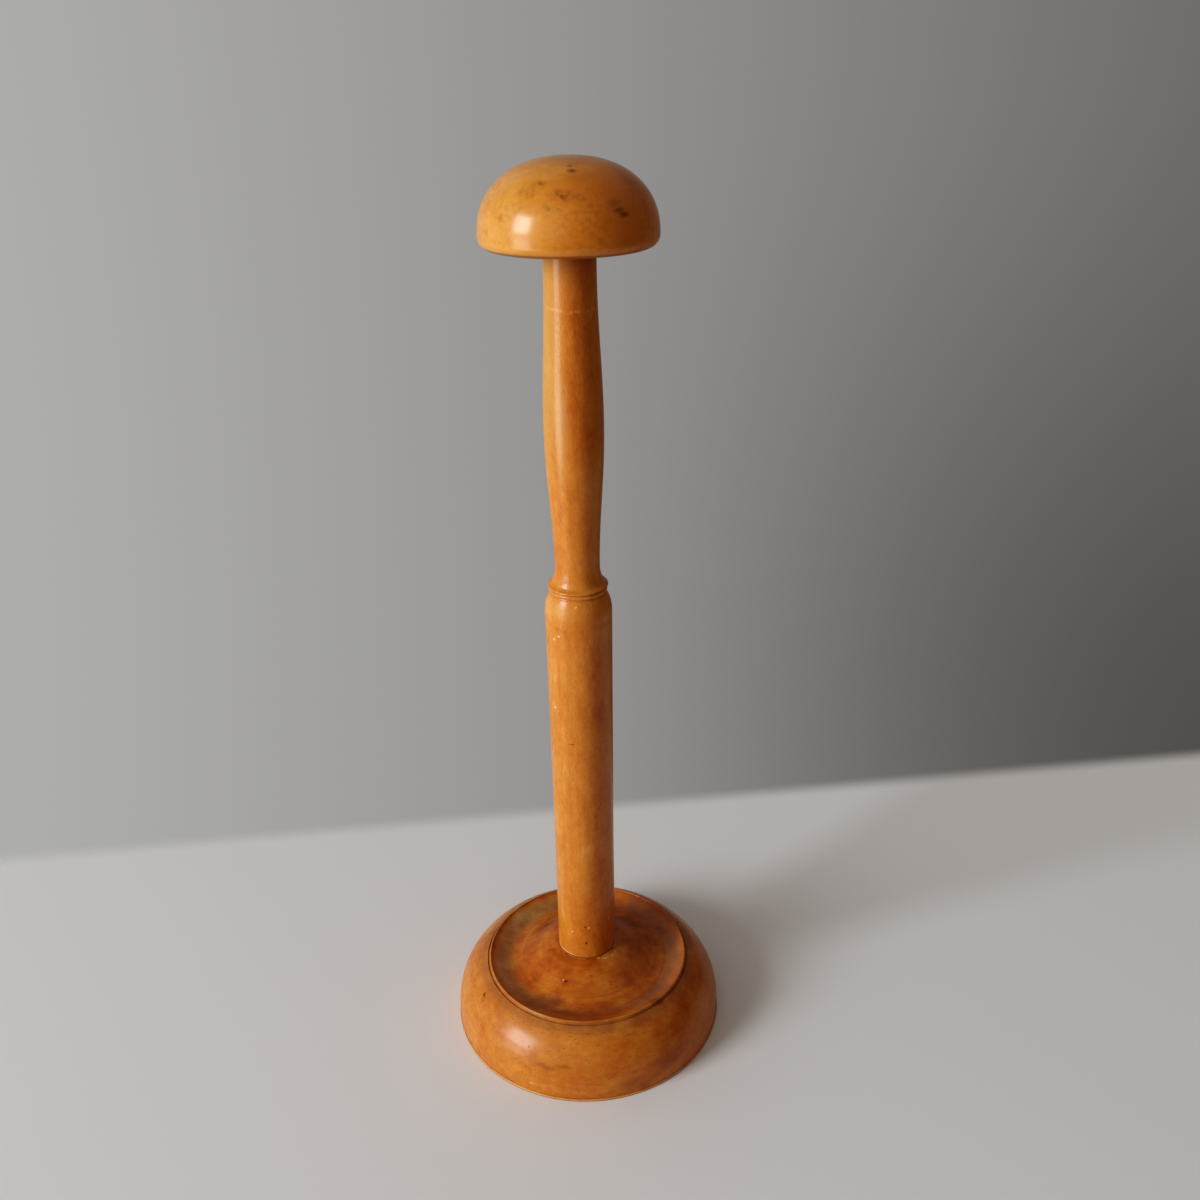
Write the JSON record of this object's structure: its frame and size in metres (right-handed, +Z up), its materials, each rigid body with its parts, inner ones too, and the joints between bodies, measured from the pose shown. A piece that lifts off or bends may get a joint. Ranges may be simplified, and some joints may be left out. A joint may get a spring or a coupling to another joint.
{
  "type": "hat stand",
  "caption": "Turned wooden table hat stand: domed cap on a slender beaded stem, set in a heavy round base with a raised rim.",
  "frame": {"origin": "centre of the flat underside of the base, on the surface that the stand rests on", "axes": "+Z up along the stem, the common axis of every turned piece; -Y towards the viewer of the picture"},
  "size_m": [0.1146, 0.1146, 0.3556],
  "materials": {
    "base_wood": "beech under worn orange-brown shellac, darkest in the moat, semi-gloss",
    "stem_wood": "beech under orange shellac, straight upright grain with fine ray flecks, semi-gloss",
    "cap_wood": "beech under orange shellac, polished by use, with brown flecks, semi-gloss"
  },
  "bodies": {
    "root": {"base": "base_wood", "stem": "stem_wood", "cap": "cap_wood"}
  },
  "joints": []
}
